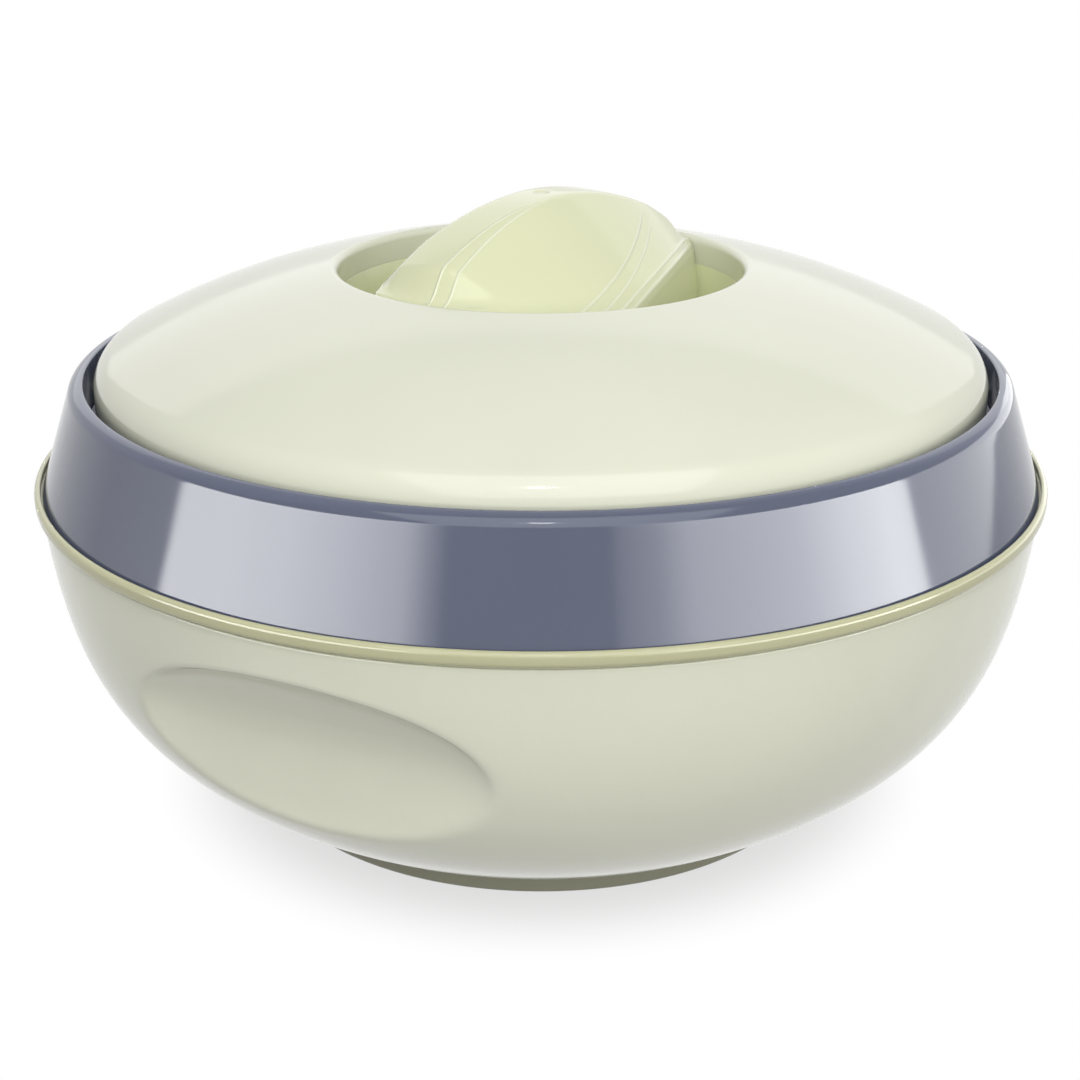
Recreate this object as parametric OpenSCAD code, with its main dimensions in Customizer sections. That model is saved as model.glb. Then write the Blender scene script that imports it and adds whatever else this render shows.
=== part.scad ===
// Insulated serving bowl with a lift-off domed lid and a twisted grip.
// Millimetres, +Z up. The origin is on the table, under the bowl's axis. The hand scoops face -Y and +Y.

/* [Bowl] */
// Largest diameter, across the rim bead
rim_d = 290; // [260:1:320]
// Height of the bowl's rim above the table
bowl_h = 98.5; // [90:0.5:115]
// Thickness of the outer bowl
bowl_wall = 2.8; // [2:0.1:4]
// Height of the rim bead
bead_h = 4; // [3:0.1:6]
// How far the rim bead stands out from the bowl
bead_out = 1.8; // [1:0.1:3]
// Width and depth of the fine groove under the bead
groove = 0.8; // [0.4:0.1:1.2]
// How strongly the flank runs on downwards before it turns in
flank_pull = 48; // [40:1:56]
// Lean of the flank at the rim, in degrees
flank_lean = 5.5; // [2:0.5:10]
// How strongly the bottom runs on outwards before it turns up
base_pull = 49; // [40:1:56]
// Rise of the bottom at the foot, in degrees
base_rise = 30; // [20:1:36]

/* [Scoops] */
// Radius of the round hollow of each hand scoop
scoop_r = 60; // [50:1:80]
// How far the hollow reaches in from the bowl's shoulder
scoop_depth = 18.5; // [12:0.5:22]
// Height of the hollow's deepest line
scoop_z = 41.3; // [36:0.1:50]

/* [Foot] */
// Diameter of the foot ring
foot_d = 168.8; // [140:0.2:180]
// Height of the foot ring
foot_h = 5; // [4:0.5:9]
// Width of the foot ring
foot_w = 4; // [3:0.5:8]
// Thickness of the base plate inside the foot ring
plate_t = 2.2; // [1.6:0.1:3]
// How far the bowl's bottom laps over the base plate
plate_lap = 11; // [8:0.5:16]
// Diameter of the hole that the insulation was poured through
filler_d = 16; // [10:0.5:24]

/* [Inner bowl] */
// Thickness of the steel bowl
steel_t = 0.8; // [0.5:0.1:1.2]
// Insulation between the base plate and the steel bowl
base_foam = 12; // [9:0.5:16]
// Insulation between the outer bowl and the round at the bottom of the steel bowl
corner_foam = 5; // [4:0.5:12]
// Radius of the round between the steel bowl's wall and its floor
pan_round = 14; // [10:1:20]

/* [Collar] */
// Height of the collar's crest above the bowl's rim
collar_h = 28.6; // [24:0.2:36]
// How far the collar leans in from the rim bead to its crest
collar_in = 15.3; // [12:0.1:20]
// Radius of the collar's rounded top
crest_round = 5; // [4:0.1:6]
// Thickness of the collar
collar_wall = 2.4; // [2:0.1:3]
// Depth of the lid's seat below the crest
seat_depth = 13.1; // [11:0.1:16]
// Width of the lid's seat
seat_w = 11.4; // [9:0.1:15]
// Thickness of the gasket under the seat
rim_gasket_t = 1.4; // [1:0.1:2.5]

/* [Lid] */
// Gap between the lid's edge and the collar
lid_gap = 2.7; // [1.5:0.1:4]
// Thickness of the lid's shells
lid_wall = 2.5; // [2:0.1:3]
// Radius of the lid's rounded edge
edge_round = 3; // [2:0.1:4]
// Height of the lid's shoulder above the collar's crest
lid_proud = 4; // [2:0.2:8]
// Rise of the dome from its shoulder to the recess
dome_rise = 23.8; // [18:0.2:30]
// Bulge of the dome above a straight cone
dome_bulge = 2.9; // [2:0.1:5]
// Depth of the plug that enters the steel bowl
plug_h = 15; // [13:0.5:18]
// Gap between the bottom of the plug and the steel bowl
plug_gap = 2; // [1.5:0.1:4]

/* [Grip] */
// Diameter of the round recess in the lid
recess_d = 118.6; // [110:0.2:130]
// Depth of the finger wells
well_depth = 24; // [20:0.5:28]
// Depth of the dome's lip inside the recess
lip_h = 8; // [7:0.5:10]
// Height of the grip's ridge above the recess
grip_rise = 20; // [16:0.1:24]
// Width of the bridge between the two wells, at its middle
grip_w = 73.2; // [64:0.2:80]
// How much the bridge's sides curve in towards its ends
side_bow = 6.7; // [0:0.1:10]
// Angle of the bridge's sides from the X axis, in degrees
grip_turn = 6.9; // [0:0.1:45]
// Angle of the ridge from the bridge's sides, in degrees
ridge_turn = 64; // [54:1:74]
// Fall of the broad flanks beside the ridge, as a slope
flank_fall = 0.71; // [0.5:0.01:0.8]
// Extra fall of the outer flanks beyond their fold, as a slope
fold_fall = 0.12; // [0:0.01:0.3]
// Diameter of the flat gate mark on the ridge
gate_d = 4; // [3:0.5:6]

/* [Hidden] */
$fn = 96;

// Straight bands in each long curve and in each small round
bands = 20;
round_bands = 6;
// Clearances: pieces that are put together, foam against a shell, lid against bowl
fit = 0.3;
foam_fit = 0.25;
seat_gap = 0.3;

// Bowl: the bead's lip stands round the collar's foot, which rests on a ledge inside it
rim_r = rim_d / 2;
shoulder_r = rim_r - bead_out;
shoulder_z = bowl_h - bead_h - groove;
bead_round = 1.2;
lip_w = 1.9;
lip_r = rim_r - lip_w;
ledge_drop = 2;
ledge_z = bowl_h - ledge_drop;
ledge_w = 4.6;
ledge_r = lip_r - ledge_w;
foot_r = foot_d / 2;
foot_inset = 1.4;
base_r = foot_r + foot_inset;
base_hole_r = foot_r - plate_lap;
spigot_rise = 1.5;
spigot_z = foot_h + bowl_wall + spigot_rise;
bowl_curve = [
    [shoulder_r, shoulder_z],
    [shoulder_r - flank_pull * sin(flank_lean), shoulder_z - flank_pull * cos(flank_lean)],
    [base_r + base_pull * cos(base_rise), foot_h + base_pull * sin(base_rise)],
    [base_r, foot_h]
];

// The scoops are cut by a level cylinder that lies outside the bowl
scoop_axis_r = shoulder_r - scoop_depth + scoop_r;

// Collar: crest, tangent from its foot to its rounded top, lid seat
collar_r = lip_r - fit;
crest_r = rim_r - collar_in;
crest_z = bowl_h + collar_h;
crest_centre = [crest_r, crest_z - crest_round];
crest_edge = 0.5;
wall_r = crest_r - crest_edge;
to_foot = [collar_r, ledge_z] - crest_centre;
crest_tangent = atan2(to_foot.y, to_foot.x) + acos(crest_round / norm(to_foot));
seat_z = crest_z - seat_depth;
seat_in_r = wall_r - seat_w;
skirt_w = 2.2;
skirt_r = wall_r - skirt_w;
skirt_h = 7.6;
under_seat_z = seat_z - collar_wall;

// Steel bowl: its mouth is inside the lid's seat, its flange is under it
mouth_inset = 2.2;
mouth_r = seat_in_r - mouth_inset;
gasket_gap = 0.2;
flange_z = under_seat_z - rim_gasket_t - gasket_gap;
flange_r = skirt_r - fit;
mouth_round = 2;
mouth_centre = [mouth_r + mouth_round, flange_z - mouth_round];
pan_floor_z = foot_h + base_foam + steel_t;
pan_corner = (pan_round + steel_t + corner_foam) / sqrt(2);
pan_centre_z = pan_floor_z + pan_round;
pan_centre = [bowl_inside_r(pan_centre_z - pan_corner) - pan_corner, pan_centre_z];
pan_span = mouth_centre - pan_centre;
pan_lean = acos((mouth_round + pan_round) / norm(pan_span)) - atan2(pan_span.y, pan_span.x);
pan_wall_top = mouth_centre + mouth_round * [-cos(pan_lean), sin(pan_lean)];

// Lid: dome arc from the recess to the shoulder, then a rounded edge and a skirt
lid_r = wall_r - lid_gap;
lid_shoulder_z = crest_z + lid_proud;
recess_r = recess_d / 2;
recess_z = lid_shoulder_z + dome_rise;
dome_half = norm([lid_r - recess_r, dome_rise]) / 2;
dome_r = (dome_half * dome_half + dome_bulge * dome_bulge) / (2 * dome_bulge);
dome_turn = asin(dome_half / dome_r);
dome_slope = atan2(dome_rise, lid_r - recess_r);
dome_slope_in = dome_slope - dome_turn;
dome_centre = [recess_r, recess_z] - dome_r * [sin(dome_slope_in), cos(dome_slope_in)];
// The rounds at the recess and at the edge touch the dome arc from inside
lip_round = 2;
lip_centre = [recess_r, dome_z(dome_r - lip_round, recess_r)];
lip_angle = atan2(lip_centre.y - dome_centre.y, lip_centre.x - dome_centre.x);
edge_centre = [lid_r - edge_round, dome_z(dome_r - edge_round, lid_r - edge_round)];
edge_angle = atan2(edge_centre.y - dome_centre.y, edge_centre.x - dome_centre.x);
skirt_z = seat_z + seat_gap;

// Grip cup: wall inside the dome's lip, flange under it, screws through the flange
cup_r = recess_r - lip_round;
cup_wall = 2.4;
cup_draft = 3.5;
cup_fillet = 5;
cup_top_z = recess_z - lip_h;
well_z = recess_z - well_depth;
flange_t = 2.2;
screw_out = 6.5;
screw_pcd_r = cup_r + cup_wall + screw_out;
screw_edge = 5;
cup_flange_r = screw_pcd_r + screw_edge;
screw_count = 4;
screw_r = 1.4;
screw_head_r = 2.8;
screw_head_h = 2;
pilot_r = 1.5;
pilot_end = 1;
boss_r = 3.4;
boss_sink = 0.8;
boss_top_z = dome_z(dome_r - lid_wall, screw_pcd_r) + boss_sink;

// Twisted bridge, in its own directions: across between its sides, along from end to end
bridge_half = grip_w / 2;
bridge_reach = recess_r + 1;
bridge_draft = 3;
ridge_over = 3.7;
ridge_half = recess_r + ridge_over;
ridge_soft = 1.8;
// Over this length the ends of the bridge come down to just under the recess's lip
settle = 6;
settle_under = 0.4;
// Offset, skew and bow of the crease beside the ridge and of the fold further out
crease_run = [6.7, -0.12, 0.001];
fold_run = [32.5, -0.49, -0.0059];
bridge_steps = 30;
across_steps = 26;
hollow_steps = 14;
gate_depth = 0.5;

// Liner and gasket of the lid
liner_r = lid_r - lid_wall - fit;
plug_z = skirt_z - plug_h;
plug_r = pan_wall_r(plug_z) - plug_gap;
plug_round = 3;
gasket_above = 0.4;
gasket_z = plug_z + plug_round + gasket_above;
gasket_h = 4.5;
gasket_groove = 1;
gasket_fit = 0.1;

// Points of a round from angle a to angle b
function arc(centre, r, a, b, n = round_bands) =
    [for (i = [0 : n]) centre + r * [cos(a + (b - a) * i / n), sin(a + (b - a) * i / n)]];

// Points of a cubic curve, moved outwards by gap along its normal
function curve_point(p, u) = pow(1 - u, 3) * p[0] + 3 * u * pow(1 - u, 2) * p[1]
    + 3 * u * u * (1 - u) * p[2] + pow(u, 3) * p[3];
function curve_way(p, u) = pow(1 - u, 2) * (p[1] - p[0]) + 2 * u * (1 - u) * (p[2] - p[1])
    + u * u * (p[3] - p[2]);
function curve(p, gap = 0) = [for (i = [0 : bands]) let (u = i / bands, way = curve_way(p, u))
    curve_point(p, u) + gap * [-way.y, way.x] / norm(way)];

// Inside radius of the outer bowl at a height
function bowl_inside_r(z) = lookup(z, [for (p = curve(bowl_curve, -bowl_wall)) [p.y, p.x]]);
// Inside radius of the steel bowl's straight wall at a height
function pan_wall_r(z) = pan_wall_top.x - (pan_wall_top.y - z) * tan(pan_lean);
// Round at the bottom of the steel bowl, moved outwards by gap
function pan_bottom(gap = 0) = arc(pan_centre, pan_round + gap, -pan_lean, -90);
// Round at the mouth of the steel bowl, moved outwards by gap
function pan_mouth(gap = 0) = arc(mouth_centre, mouth_round - gap, 90, 180 - pan_lean);

function backwards(path) = [for (i = [len(path) - 1 : -1 : 0]) path[i]];

// Height at radius x of an arc of radius r about the dome's centre
function dome_z(r, x) = dome_centre.y + sqrt(r * r - pow(x - dome_centre.x, 2));
function dome_arc(r) = arc(dome_centre, r, lip_angle, edge_angle, bands);

// Smooth ramp: 0 below zero and x above it, rounded over about the given width
function ramp(x, soft) = (x + sqrt(x * x + soft * soft)) / 2;
// Distance from the ridge to a crease, at a place along the ridge
function run(c, s) = c[0] + c[1] * s + c[2] * s * s;
// Fall beyond a crease on one side of the ridge and beyond its twin on the other side
function fall(c, s, t) = ramp(t - run(c, s), ridge_soft) + ramp(-t - run(c, -s), ridge_soft);
// Half the width of the bridge at a place along it
function bridge_side(along) = bridge_half - side_bow * pow(along / recess_r, 2);
// Height of the bridge above the recess, at a place across and along it.
// The ridge is an arch. Its flanks fall away on both sides, and they are the same after half a turn.
function bridge_h(across, along) =
    let (s = across * cos(ridge_turn) + along * sin(ridge_turn),
         t = across * sin(ridge_turn) - along * cos(ridge_turn),
         h = grip_rise * (1 - pow(s / ridge_half, 2))
             - flank_fall * fall(crease_run, s, t) - fold_fall * fall(fold_run, s, t),
         k = min(max((norm([across, along]) - cup_r + fit) / settle + 1, 0), 1))
    h + (min(h, -settle_under) - h) * k * k * (3 - 2 * k);

module turned(profile) {
    rotate_extrude() polygon(profile);
}

// The two level hollows of the hand scoops, grown by a wall
module scoop_tools(grow = 0) {
    for (side = [-1, 1])
        translate([0, side * scoop_axis_r, scoop_z])
            rotate([0, 90, 0])
                cylinder(r = scoop_r + grow, h = rim_d, center = true);
}

module outer_bowl() {
    bead = concat(
        [[lip_r, bowl_h]],
        arc([rim_r - bead_round, bowl_h - bead_round], bead_round, 90, 0),
        arc([rim_r - bead_round, bowl_h - bead_h + bead_round], bead_round, 0, -90),
        [[shoulder_r - groove, bowl_h - bead_h], [shoulder_r - groove, shoulder_z]]);
    outside = concat(bead, curve(bowl_curve), [[0, foot_h], [0, bowl_h]]);
    inside = concat(
        [[lip_r, bowl_h + 1], [lip_r, ledge_z], [ledge_r, ledge_z], [ledge_r, shoulder_z]],
        curve(bowl_curve, -bowl_wall),
        [[base_hole_r, foot_h + bowl_wall], [base_hole_r, foot_h - 1], [0, foot_h - 1], [0, bowl_h + 1]]);
    color("#d9dbc3")
        difference() {
            turned(outside);
            scoop_tools();
            difference() {
                turned(inside);
                scoop_tools(bowl_wall);
            }
        }
}

module base_plate() {
    foot_round = 1;
    spigot_r = base_hole_r - fit;
    spigot_w = 2.2;
    color("#b9b99c")
        difference() {
            turned(concat(
                [[0, foot_h - plate_t], [foot_r - foot_w, foot_h - plate_t], [foot_r - foot_w, 0]],
                arc([foot_r - foot_round, foot_round], foot_round, -90, 0),
                [[foot_r, foot_h], [spigot_r, foot_h], [spigot_r, spigot_z],
                 [spigot_r - spigot_w, spigot_z], [spigot_r - spigot_w, foot_h], [0, foot_h]]));
            cylinder(d = filler_d, h = 3 * foot_h);
        }
}

module filler_plug() {
    head_t = 1.4;
    chamfer = 0.6;
    stem_r = filler_d / 2 - fit;
    head_r = stem_r + 3;
    stem_z = foot_h + 1.6;
    under = foot_h - plate_t;
    color("#a9a98c")
        turned([[0, under - head_t], [head_r - chamfer, under - head_t], [head_r, under - head_t + chamfer],
            [head_r, under], [stem_r, under], [stem_r, stem_z - chamfer],
            [stem_r - chamfer, stem_z], [0, stem_z]]);
}

module bowl_foam() {
    gap = bowl_wall + foam_fit;
    side = curve(bowl_curve, -gap);
    color("#e8d9a0")
        difference() {
            turned(concat(
                [[0, pan_floor_z - steel_t - foam_fit]],
                backwards(pan_bottom(steel_t + foam_fit)),
                backwards(pan_mouth(steel_t + foam_fit)),
                [[skirt_r - fit, flange_z - steel_t - foam_fit],
                 [skirt_r - fit, under_seat_z - skirt_h - fit],
                 [ledge_r - fit, under_seat_z - skirt_h - fit],
                 [ledge_r - fit, shoulder_z - foam_fit]],
                [for (i = [1 : bands]) side[i]],
                [[base_hole_r + fit, foot_h + gap], [base_hole_r + fit, spigot_z + foam_fit],
                 [0, spigot_z + foam_fit]]));
            scoop_tools(gap);
        }
}

module inner_bowl() {
    color("#c8cacc")
        turned(concat(
            [[0, pan_floor_z - steel_t]],
            backwards(pan_bottom(steel_t)),
            backwards(pan_mouth(steel_t)),
            [[flange_r, flange_z - steel_t], [flange_r, flange_z]],
            pan_mouth(),
            pan_bottom(),
            [[0, pan_floor_z]]));
}

module rim_gasket() {
    inset = 1;
    color("#e6e6e0")
        translate([0, 0, flange_z])
            difference() {
                cylinder(r = flange_r - inset, h = rim_gasket_t);
                translate([0, 0, -rim_gasket_t])
                    cylinder(r = mouth_r + mouth_round + inset, h = 3 * rim_gasket_t);
            }
}

module collar_ring() {
    chamfer = 0.6;
    inner_wall_r = wall_r + collar_wall;
    under = crest_centre + (crest_round - collar_wall) * [cos(crest_tangent), sin(crest_tangent)];
    color("#7f8499")
        turned(concat(
            [[collar_r - collar_wall, ledge_z], [collar_r, ledge_z]],
            arc(crest_centre, crest_round, crest_tangent, 90),
            arc([crest_r, crest_z - crest_edge], crest_edge, 90, 180),
            [[wall_r, seat_z], [seat_in_r + chamfer, seat_z], [seat_in_r, seat_z - chamfer],
             [seat_in_r, under_seat_z], [skirt_r, under_seat_z],
             [skirt_r, under_seat_z - skirt_h], [wall_r, under_seat_z - skirt_h],
             [wall_r, under_seat_z], [inner_wall_r, seat_z], [inner_wall_r, under.y],
             [max(under.x, inner_wall_r + fit), under.y]]));
}

// Places of the screws that hold the grip cup
module at_screws() {
    for (i = [0 : screw_count - 1])
        rotate(45 + 360 / screw_count * i)
            translate([screw_pcd_r, 0, 0])
                children();
}

module lid_dome() {
    color("#e3e4d2")
        difference() {
            union() {
                turned(concat(
                    [[cup_r, cup_top_z]],
                    arc(lip_centre, lip_round, 180, lip_angle),
                    dome_arc(dome_r),
                    arc(edge_centre, edge_round, edge_angle, 0),
                    [[lid_r, skirt_z], [lid_r - lid_wall, skirt_z]],
                    backwards(dome_arc(dome_r - lid_wall)),
                    [[cup_r + lid_wall, cup_top_z]]));
                at_screws()
                    translate([0, 0, cup_top_z])
                        cylinder(r = boss_r, h = boss_top_z - cup_top_z);
            }
            at_screws()
                translate([0, 0, cup_top_z - pilot_end])
                    cylinder(r = pilot_r, h = boss_top_z - cup_top_z);
        }
}

// The bridge as a skin over stations along it, lowered and narrowed by a wall for its hollow.
// Each station starts at the middle of its underside, and the ends are fans from there.
module bridge(wall = 0, floor_z = 0, along_n = bridge_steps, across_n = across_steps) {
    stations = [for (i = [0 : along_n])
        let (along = bridge_reach * (2 * i / along_n - 1),
             half = bridge_side(along) - wall,
             foot = half + bridge_draft)
        concat(
            [[0, along, floor_z], [-foot, along, floor_z]],
            [for (j = [0 : across_n]) let (across = half * (2 * j / across_n - 1))
                [across, along, recess_z + bridge_h(across, along) - wall]],
            [[foot, along, floor_z]])];
    ring = len(stations[0]);
    last = along_n * ring;
    sides = [for (i = [0 : along_n - 1], j = [0 : ring - 1])
        let (a = i * ring + j, b = i * ring + (j + 1) % ring)
        each [[a, b + ring, b], [a, a + ring, b + ring]]];
    ends = [for (j = [1 : ring - 2]) each [[0, j, j + 1], [last, last + j + 1, last + j]]];
    rotate(grip_turn)
        polyhedron([for (s = stations) each s], concat(sides, ends), convexity = 4);
}

module grip_cup() {
    floor_r = cup_r - cup_draft;
    floor_round = [floor_r - cup_fillet, well_z + cup_fillet];
    under_z = well_z - cup_wall;
    mid_wall = cup_wall / 2;
    hollow_r = floor_r - cup_wall;
    above_z = recess_z + 2 * grip_rise;
    color("#d6d8b4")
        difference() {
            union() {
                turned(concat(
                    [[0, under_z]],
                    [[floor_r - cup_fillet, under_z]],
                    arc(floor_round, cup_fillet + cup_wall, -90, 0),
                    [[cup_r + cup_wall, cup_top_z - flange_t], [cup_flange_r, cup_top_z - flange_t],
                     [cup_flange_r, cup_top_z], [cup_r, cup_top_z]],
                    arc(floor_round, cup_fillet, 0, -90),
                    [[0, well_z]]));
                intersection() {
                    bridge(0, well_z - mid_wall);
                    turned([[0, under_z], [floor_r + mid_wall, under_z], [cup_r + mid_wall, cup_top_z],
                        [cup_r - fit, cup_top_z], [cup_r - fit, above_z], [0, above_z]]);
                }
            }
            intersection() {
                bridge(cup_wall, under_z - cup_wall, hollow_steps, hollow_steps);
                translate([0, 0, under_z - 2 * cup_wall])
                    cylinder(r = hollow_r, h = above_z - under_z);
            }
            at_screws()
                translate([0, 0, cup_top_z - 2 * flange_t])
                    cylinder(r = screw_r + fit, h = 3 * flange_t);
            translate([0, 0, recess_z + bridge_h(0, 0) - gate_depth])
                cylinder(d = gate_d, h = grip_rise);
        }
}

module grip_screws() {
    seat = cup_top_z - flange_t;
    color("#b0b2b5")
        at_screws() {
            translate([0, 0, seat - screw_head_h])
                cylinder(r = screw_head_r, h = screw_head_h);
            translate([0, 0, seat - screw_head_h])
                cylinder(r = screw_r, h = boss_top_z - 2 * pilot_end - seat + screw_head_h);
        }
}

module lid_foam() {
    under = cup_top_z - flange_t - screw_head_h - fit;
    cup_side = cup_r + cup_wall + foam_fit;
    flange_side = cup_flange_r + foam_fit;
    roof = dome_r - lid_wall - foam_fit;
    wall_side = min(lid_r - lid_wall, dome_arc(dome_r - lid_wall)[bands].x) - foam_fit;
    color("#e8d9a0")
        turned(concat(
            [[0, plug_z + lid_wall + foam_fit], [plug_r - lid_wall - foam_fit, plug_z + lid_wall + foam_fit],
             [plug_r - lid_wall - foam_fit, skirt_z + lid_wall + foam_fit],
             [wall_side, skirt_z + lid_wall + foam_fit]],
            [for (i = [0 : bands]) let (x = wall_side + (flange_side - wall_side) * i / bands)
                [x, dome_z(roof, x)]],
            [[flange_side, under], [cup_side, under], [cup_side, well_z - cup_wall - foam_fit],
             [0, well_z - cup_wall - foam_fit]]));
}

module lid_liner() {
    groove_r = plug_r - gasket_groove;
    color("#ececdf")
        turned(concat(
            [[0, plug_z]],
            arc([plug_r - plug_round, plug_z + plug_round], plug_round, -90, 0),
            [[plug_r, gasket_z], [groove_r, gasket_z], [groove_r, gasket_z + gasket_h],
             [plug_r, gasket_z + gasket_h], [plug_r, skirt_z], [liner_r, skirt_z],
             [liner_r, skirt_z + lid_wall], [plug_r - lid_wall, skirt_z + lid_wall],
             [plug_r - lid_wall, plug_z + lid_wall], [0, plug_z + lid_wall]]));
}

module lid_gasket() {
    root_r = plug_r - gasket_groove + gasket_fit;
    neck_r = plug_r + 0.7;
    tip_t = 0.9;
    low = gasket_z + gasket_fit;
    high = gasket_z + gasket_h - gasket_fit;
    tip_r = pan_wall_r(high - tip_t) - seat_gap;
    color("#f0f0ea")
        turned([[root_r, low], [neck_r, low], [neck_r, (low + high) / 2], [tip_r, high - tip_t],
            [tip_r, high], [root_r, high]]);
}

outer_bowl();
base_plate();
filler_plug();
bowl_foam();
inner_bowl();
rim_gasket();
collar_ring();
lid_dome();
grip_cup();
grip_screws();
lid_foam();
lid_liner();
lid_gasket();
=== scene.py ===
import math

import bmesh
import bpy
import numpy as np
from bpy.props import FloatProperty, FloatVectorProperty, PointerProperty
from mathutils import Matrix, Vector


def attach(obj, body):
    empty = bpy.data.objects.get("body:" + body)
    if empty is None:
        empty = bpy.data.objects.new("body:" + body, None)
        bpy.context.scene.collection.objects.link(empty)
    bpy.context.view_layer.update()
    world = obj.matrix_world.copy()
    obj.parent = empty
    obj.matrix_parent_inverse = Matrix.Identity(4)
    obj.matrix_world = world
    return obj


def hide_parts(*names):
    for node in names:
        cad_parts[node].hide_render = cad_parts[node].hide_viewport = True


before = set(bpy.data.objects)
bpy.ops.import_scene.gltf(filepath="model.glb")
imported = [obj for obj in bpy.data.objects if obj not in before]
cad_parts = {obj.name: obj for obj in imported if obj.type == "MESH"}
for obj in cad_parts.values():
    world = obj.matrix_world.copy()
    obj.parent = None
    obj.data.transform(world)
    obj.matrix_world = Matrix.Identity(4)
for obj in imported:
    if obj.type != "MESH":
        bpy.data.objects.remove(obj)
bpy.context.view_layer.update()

bl_info = {
    "name": "Insulated Serving Bowl",
    "version": (1, 0, 0),
    "blender": (4, 5, 0),
    "location": "View3D > Sidebar > Serving Bowl",
    "description": "Dresses the solids of an insulated serving bowl with smooth shells, finishes and a studio",
    "category": "Object",
}

MM = 0.001
CUP_DRAFT = 3.5 * MM
ROUND_STEPS = 5
SHARP_DEGREES = 38
LINE_NAMES = ("line_edge", "line_fade")

# Name, side of the view, and stops: degrees away from the view and the share of the walls' strength there
WALLS = (
    ("left_wall", 1, (
        (17, 0.0), (22, 0.2), (28, 0.52), (42, 0.72), (54, 0.84), (68, 0.84), (82, 0.72), (84, 0.14),
        (105, 0.08),
    )),
    ("right_wall", -1, (
        (14, 0.08), (16, 0.16), (24, 0.28), (31, 0.5), (54, 0.68), (66, 0.9), (78, 0.98), (84, 0.86),
        (86, 0.26), (150, 0.2),
    )),
)
WALL_R, WALL_FOOT, WALL_STEPS = 1.2, 0.02, 90
WALL_TOPS = ((20, 80), (0.6, 0.46))
ROOM_WHITE = 1.0

# Name, width and height, degrees left of the view, distance, height above the table, and what is special
PANELS = (
    ("back_reflector", (3.0, 1.2), 180, 1.8, 1.0, {"diffuse": False}),
    ("top_panel", (2.0, 2.0), -6, 1.1, 1.5, {"tint": (0.945, 0.972, 1.0)}),
    ("front_panel", (2.4, 0.7), -14, 1.4, 0.5, {"tint": (1.0, 0.985, 0.92), "glossy": False}),
    ("back_panel", (1.6, 0.6), 180, 1.4, 0.4, {"glossy": False}),
    ("front_lamp", (0.10, 0.03), 0, 0.9, 1.1, {}),
)
LAMP_AIM = Vector((0, 0, 0.1))
FLOOR_HALF, FLOOR_DROP = 6.0, 0.2 * MM
CAMERA_AT = Vector((-0.25, -539.3, 277.1)) * MM
CAMERA_AIM = Vector((-0.25, 0, 70.3)) * MM


def length(name, description, mm):
    return FloatProperty(name=name, description=description, default=mm * MM, unit="LENGTH", precision=5)


def angle(name, description, degrees):
    return FloatProperty(name=name, description=description, default=math.radians(degrees), subtype="ANGLE")


def ratio(name, description, value):
    return FloatProperty(name=name, description=description, default=value, subtype="FACTOR")


def colour(name, description, rgb):
    return FloatVectorProperty(
        name=name, description=description, default=rgb, size=3, min=0, max=1, subtype="COLOR")


def power(name, description, watts):
    return FloatProperty(name=name, description=description, default=watts, subtype="POWER")


class BowlSizes(bpy.types.PropertyGroup):
    rim_r: length("Rim radius", "Largest radius, at the rim bead", 145)
    height: length("Rim height", "Height of the bowl's rim above the table", 98.5)
    wall: length("Wall", "Thickness of the outer bowl", 2.8)
    bead_h: length("Bead height", "Height of the rim bead", 4)
    bead_out: length("Bead depth", "How far the bead stands out from the bowl", 1.8)
    groove: length("Groove", "Width and depth of the fine groove under the bead", 0.8)
    flank_pull: length("Flank pull", "How strongly the flank runs on downwards", 48)
    flank_lean: angle("Flank lean", "Lean of the flank at the rim", 5.5)
    base_pull: length("Base pull", "How strongly the bottom runs on outwards", 49)
    base_rise: angle("Base rise", "Rise of the bottom at the foot", 30)
    scoop_r: length("Scoop radius", "Radius of the round hollow of a hand scoop", 60)
    scoop_depth: length("Scoop depth", "How far a scoop reaches in from the shoulder", 18.5)
    scoop_z: length("Scoop height", "Height of a scoop's deepest line", 41.3)
    scoop_soft: length("Scoop edge", "Softness of a scoop's edge", 1.3)
    scoop_ledge: length("Scoop ledge", "Extra depth of the ledge along a scoop's upper edge", 3.3)
    foot_r: length("Foot radius", "Radius of the foot ring", 84.4)
    foot_h: length("Foot height", "Height of the foot ring", 5)
    foot_w: length("Foot width", "Width of the foot ring", 4)
    plate_t: length("Base plate", "Thickness of the base plate", 2.2)
    filler_r: length("Filler hole", "Radius of the filler hole", 8)
    steel_t: length("Steel", "Thickness of the steel bowl", 0.8)
    pan_floor_z: length("Floor height", "Height of the steel bowl's floor", 17.8)
    pan_lean: angle("Wall lean", "Lean of the steel bowl's wall", 10.61)
    pan_round: length("Bottom round", "Radius between the steel bowl's wall and its floor", 14)


class CollarSizes(bpy.types.PropertyGroup):
    height: length("Height", "Height of the crest above the bowl's rim", 28.6)
    lean_in: length("Lean", "How far the collar leans in to its crest", 15.3)
    crest_round: length("Crest round", "Radius of the rounded top", 4.2)
    wall: length("Wall", "Thickness of the collar", 2.4)
    seat_depth: length("Seat depth", "Depth of the lid's seat below the crest", 13.1)
    seat_w: length("Seat width", "Width of the lid's seat", 11.4)


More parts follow.
